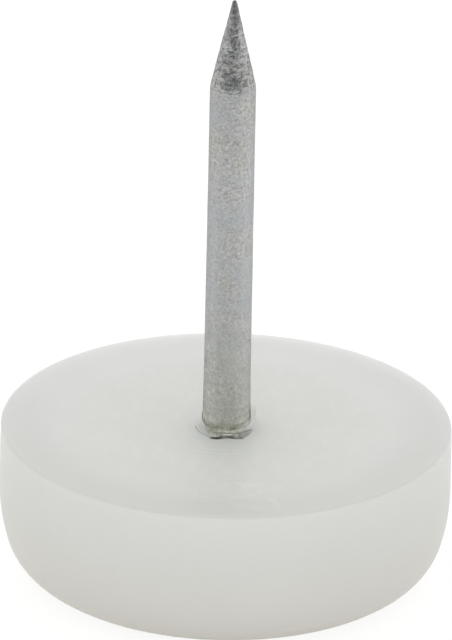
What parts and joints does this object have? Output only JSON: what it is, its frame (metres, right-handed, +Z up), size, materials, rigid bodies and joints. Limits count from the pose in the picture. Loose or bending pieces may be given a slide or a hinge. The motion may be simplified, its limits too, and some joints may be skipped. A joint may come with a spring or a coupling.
{
  "type": "nail-on furniture glide",
  "caption": "Round translucent nylon pad moulded around the head of a galvanised wire nail, driven into a chair or table leg so that it slides on the floor.",
  "frame": {"origin": "centre of the glide face, on the floor", "axes": "+Z up along the nail, from the glide face to the point; the part is round about Z"},
  "size_m": [0.02, 0.02, 0.0271],
  "materials": {
    "natural_nylon": "satin moulded nylon, milky and slightly translucent",
    "galvanised_steel": "dull galvanised zinc, finely mottled"
  },
  "bodies": {
    "root": {"glide_pad": "natural_nylon", "nail": "galvanised_steel"}
  },
  "joints": []
}
